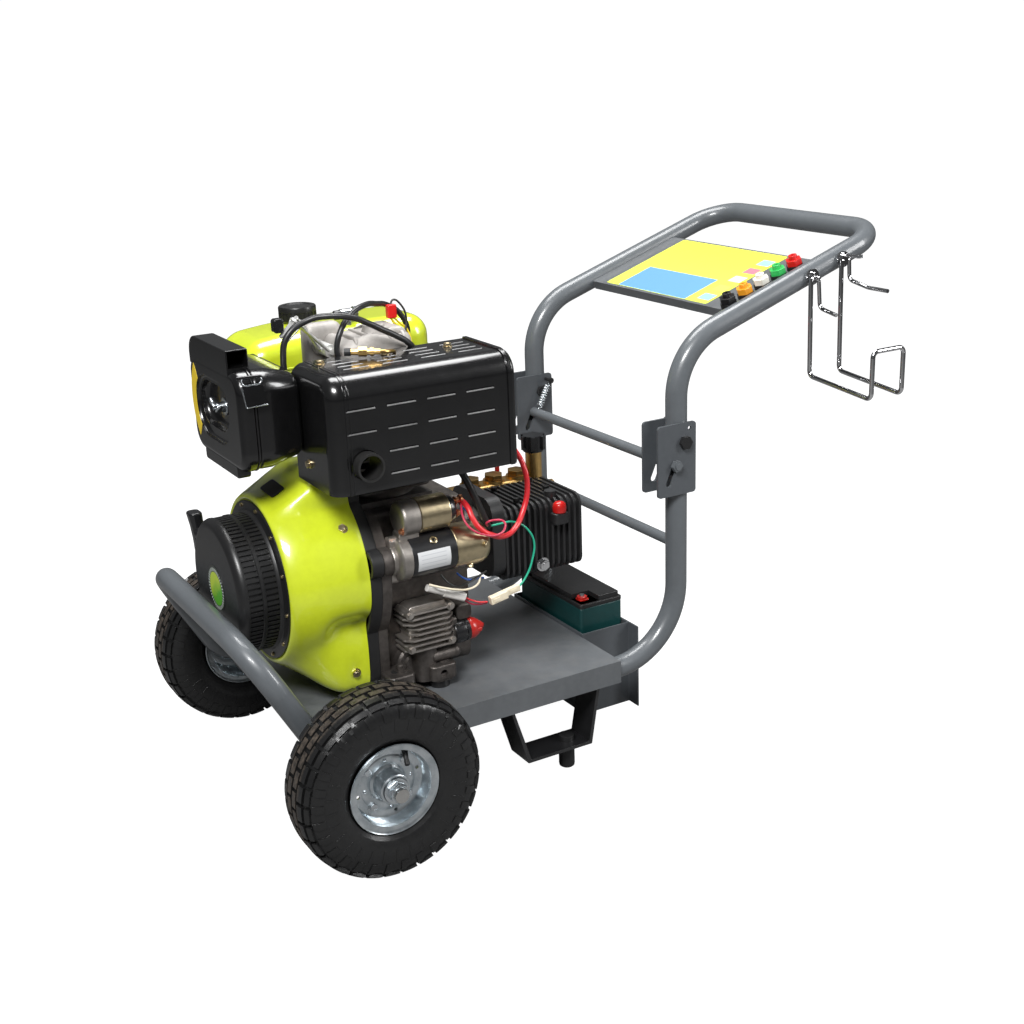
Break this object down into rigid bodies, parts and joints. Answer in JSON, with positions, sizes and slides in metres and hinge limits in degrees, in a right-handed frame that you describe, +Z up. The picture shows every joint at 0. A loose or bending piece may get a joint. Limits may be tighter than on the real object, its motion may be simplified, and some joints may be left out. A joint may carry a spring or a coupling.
{
  "type": "pressure washer",
  "caption": "Diesel pressure washer on a two-wheeled trolley with fold-down handle, nozzle panel, plunger pump and battery tray.",
  "frame": {"origin": "on the ground, under the middle of the machine's bounding box", "axes": "+X from the bumper to the handle grip, +Y away from the muffler side, +Z up"},
  "size_m": [1.0938, 0.6875, 0.7601],
  "materials": {
    "frame_paint": "satin grey paint",
    "bracket_paint": "satin dark grey paint",
    "tyre": "black rubber tyre",
    "rim": "zinc-plated sheet",
    "zinc": "zinc-plated steel",
    "steel": "machined steel",
    "black_rubber": "black rubber",
    "battery_case": "dark green plastic",
    "battery_lid": "black plastic",
    "cast_aluminium": "as-cast aluminium",
    "lime_paint": "gloss lime paint",
    "black_gloss": "gloss black paint",
    "black_plastic": "black plastic",
    "filter_foam": "filter paper",
    "cast_iron": "cast iron",
    "pump_black": "satin black paint",
    "brass": "brass",
    "red_plastic": "red plastic",
    "orange_plastic": "orange-yellow plastic",
    "white_plastic": "white plastic",
    "green_plastic": "green plastic",
    "chrome": "chrome-plated wire",
    "red_rubber": "red cable sheath"
  },
  "bodies": {
    "chassis": {"frame_tube": "frame_paint", "cross_tube": "frame_paint", "deck": "frame_paint", "axle": "zinc", "axle_nuts": "zinc", "stand_straps": "black_gloss", "stand_feet": "black_rubber", "hinge_brackets": "bracket_paint", "hinge_bolts": "zinc", "latch_springs": "zinc", "battery_tray": "bracket_paint", "battery_case": "battery_case", "battery_lid": "battery_lid", "engine_mounts": "black_rubber", "crankcase": "cast_aluminium", "cylinder_barrel": "cast_iron", "cylinder_head": "cast_aluminium", "rocker_cover": "cast_aluminium", "blower_shroud": "lime_paint", "shroud_seal": "black_rubber", "recoil_housing": "black_plastic", "air_cleaner": "black_gloss", "air_cleaner_cover": "black_gloss", "air_filter": "filter_foam", "muffler": "black_gloss", "heat_shield": "black_gloss", "fuel_tank": "lime_paint", "starter_motor": "zinc", "starter_solenoid": "zinc", "finned_cover": "cast_aluminium", "injection_pump": "cast_aluminium", "pump_crankcase": "pump_black", "pump_manifold": "brass", "pump_plugs": "brass", "fuel_hoses": "black_rubber", "battery_cables": "red_rubber"},
    "handle": {"handle_tube": "frame_paint", "control_panel": "frame_paint", "nozzle_grommets": "black_rubber", "wire_hooks": "chrome"},
    "latch": {"latch_bar": "frame_paint"},
    "wheel_near": {"tyre_near": "tyre", "rim_near": "rim"},
    "wheel_far": {"tyre_far": "tyre", "rim_far": "rim"},
    "crank": {"flywheel": "cast_iron", "crankshaft": "steel"},
    "piston": {"piston": "cast_aluminium"},
    "recoil_grip": {"pull_grip": "black_plastic"},
    "recoil_spool": {"recoil_spool": "black_plastic"},
    "fuel_cap": {"fuel_cap": "black_plastic"},
    "oil_plug": {"oil_plug": "red_plastic"},
    "throttle": {"throttle_lever": "zinc"},
    "decompression": {"decompression_lever": "zinc"},
    "pressure_knob": {"pressure_knob": "black_plastic"},
    "nozzle_1": {"nozzle_1": "black_plastic"},
    "nozzle_2": {"nozzle_2": "orange_plastic"},
    "nozzle_3": {"nozzle_3": "white_plastic"},
    "nozzle_4": {"nozzle_4": "green_plastic"},
    "nozzle_5": {"nozzle_5": "red_plastic"}
  },
  "joints": [
    {"name": "wheel_near_spin", "type": "hinge", "parent": "chassis", "child": "wheel_near", "pos_m": [-0.39291, -0.26825, 0.13], "axis": [0, 1, 0], "continuous": true},
    {"name": "wheel_far_spin", "type": "hinge", "parent": "chassis", "child": "wheel_far", "pos_m": [-0.39291, 0.28775, 0.13], "axis": [0, 1, 0], "continuous": true},
    {"name": "handle_fold", "type": "hinge", "parent": "chassis", "child": "handle", "pos_m": [0.14209, 0.00975, 0.481], "axis": [0, 1, 0], "range_deg": [0, 90]},
    {"name": "latch_slide", "type": "slide", "parent": "chassis", "child": "latch", "axis": [-0.4104, 0, -0.9119], "range_m": [0, 0.028], "stiffness_N_per_m": 900, "springref_m": -0.02, "deforming": ["latch_springs"]},
    {"name": "nozzle_1_lift", "type": "slide", "parent": "handle", "child": "nozzle_1", "axis": [-0.3173, 0, 0.9483], "range_m": [0, 0.04]},
    {"name": "nozzle_2_lift", "type": "slide", "parent": "handle", "child": "nozzle_2", "axis": [-0.3173, 0, 0.9483], "range_m": [0, 0.04]},
    {"name": "nozzle_3_lift", "type": "slide", "parent": "handle", "child": "nozzle_3", "axis": [-0.3173, 0, 0.9483], "range_m": [0, 0.04]},
    {"name": "nozzle_4_lift", "type": "slide", "parent": "handle", "child": "nozzle_4", "axis": [-0.3173, 0, 0.9483], "range_m": [0, 0.04]},
    {"name": "nozzle_5_lift", "type": "slide", "parent": "handle", "child": "nozzle_5", "axis": [-0.3173, 0, 0.9483], "range_m": [0, 0.04]},
    {"name": "crank_spin", "type": "hinge", "parent": "chassis", "child": "crank", "pos_m": [-0.25691, -0.01025, 0.341], "axis": [1, 0, 0], "continuous": true},
    {"name": "piston_slide", "type": "slide", "parent": "chassis", "child": "piston", "axis": [0, 0, 1], "range_m": [-0.07, 0]},
    {"name": "recoil_pull", "type": "slide", "parent": "chassis", "child": "recoil_grip", "axis": [0, 1, 0], "range_m": [0, 0.08], "stiffness_N_per_m": 60, "springref_m": -0.15},
    {"name": "recoil_spin", "type": "hinge", "parent": "chassis", "child": "recoil_spool", "pos_m": [-0.49091, -0.01025, 0.341], "axis": [1, 0, 0], "range_deg": [-100, 0]},
    {"name": "fuel_cap_turn", "type": "hinge", "parent": "chassis", "child": "fuel_cap", "pos_m": [-0.29391, 0.14975, 0.67], "axis": [0, 0, 1], "range_deg": [-90, 0]},
    {"name": "oil_plug_pull", "type": "slide", "parent": "chassis", "child": "oil_plug", "axis": [1, 0, 0], "range_m": [0, 0.04]},
    {"name": "throttle_turn", "type": "hinge", "parent": "chassis", "child": "throttle", "pos_m": [-0.17891, 0.07975, 0.4], "axis": [0, 1, 0], "range_deg": [0, 40]},
    {"name": "decompression_turn", "type": "hinge", "parent": "chassis", "child": "decompression", "pos_m": [-0.31991, -0.03025, 0.649], "axis": [0, 1, 0], "range_deg": [0, 40], "stiffness_Nm_per_rad": 0.15, "springref_deg": -34.38},
    {"name": "pressure_knob_turn", "type": "hinge", "parent": "chassis", "child": "pressure_knob", "pos_m": [0.05309, 0.07075, 0.43], "axis": [0, 0, 1], "continuous": true}
  ],
  "couplings": [
    {"joint": "recoil_spin", "follows": "recoil_pull", "rad_per_m": -21.277}
  ]
}
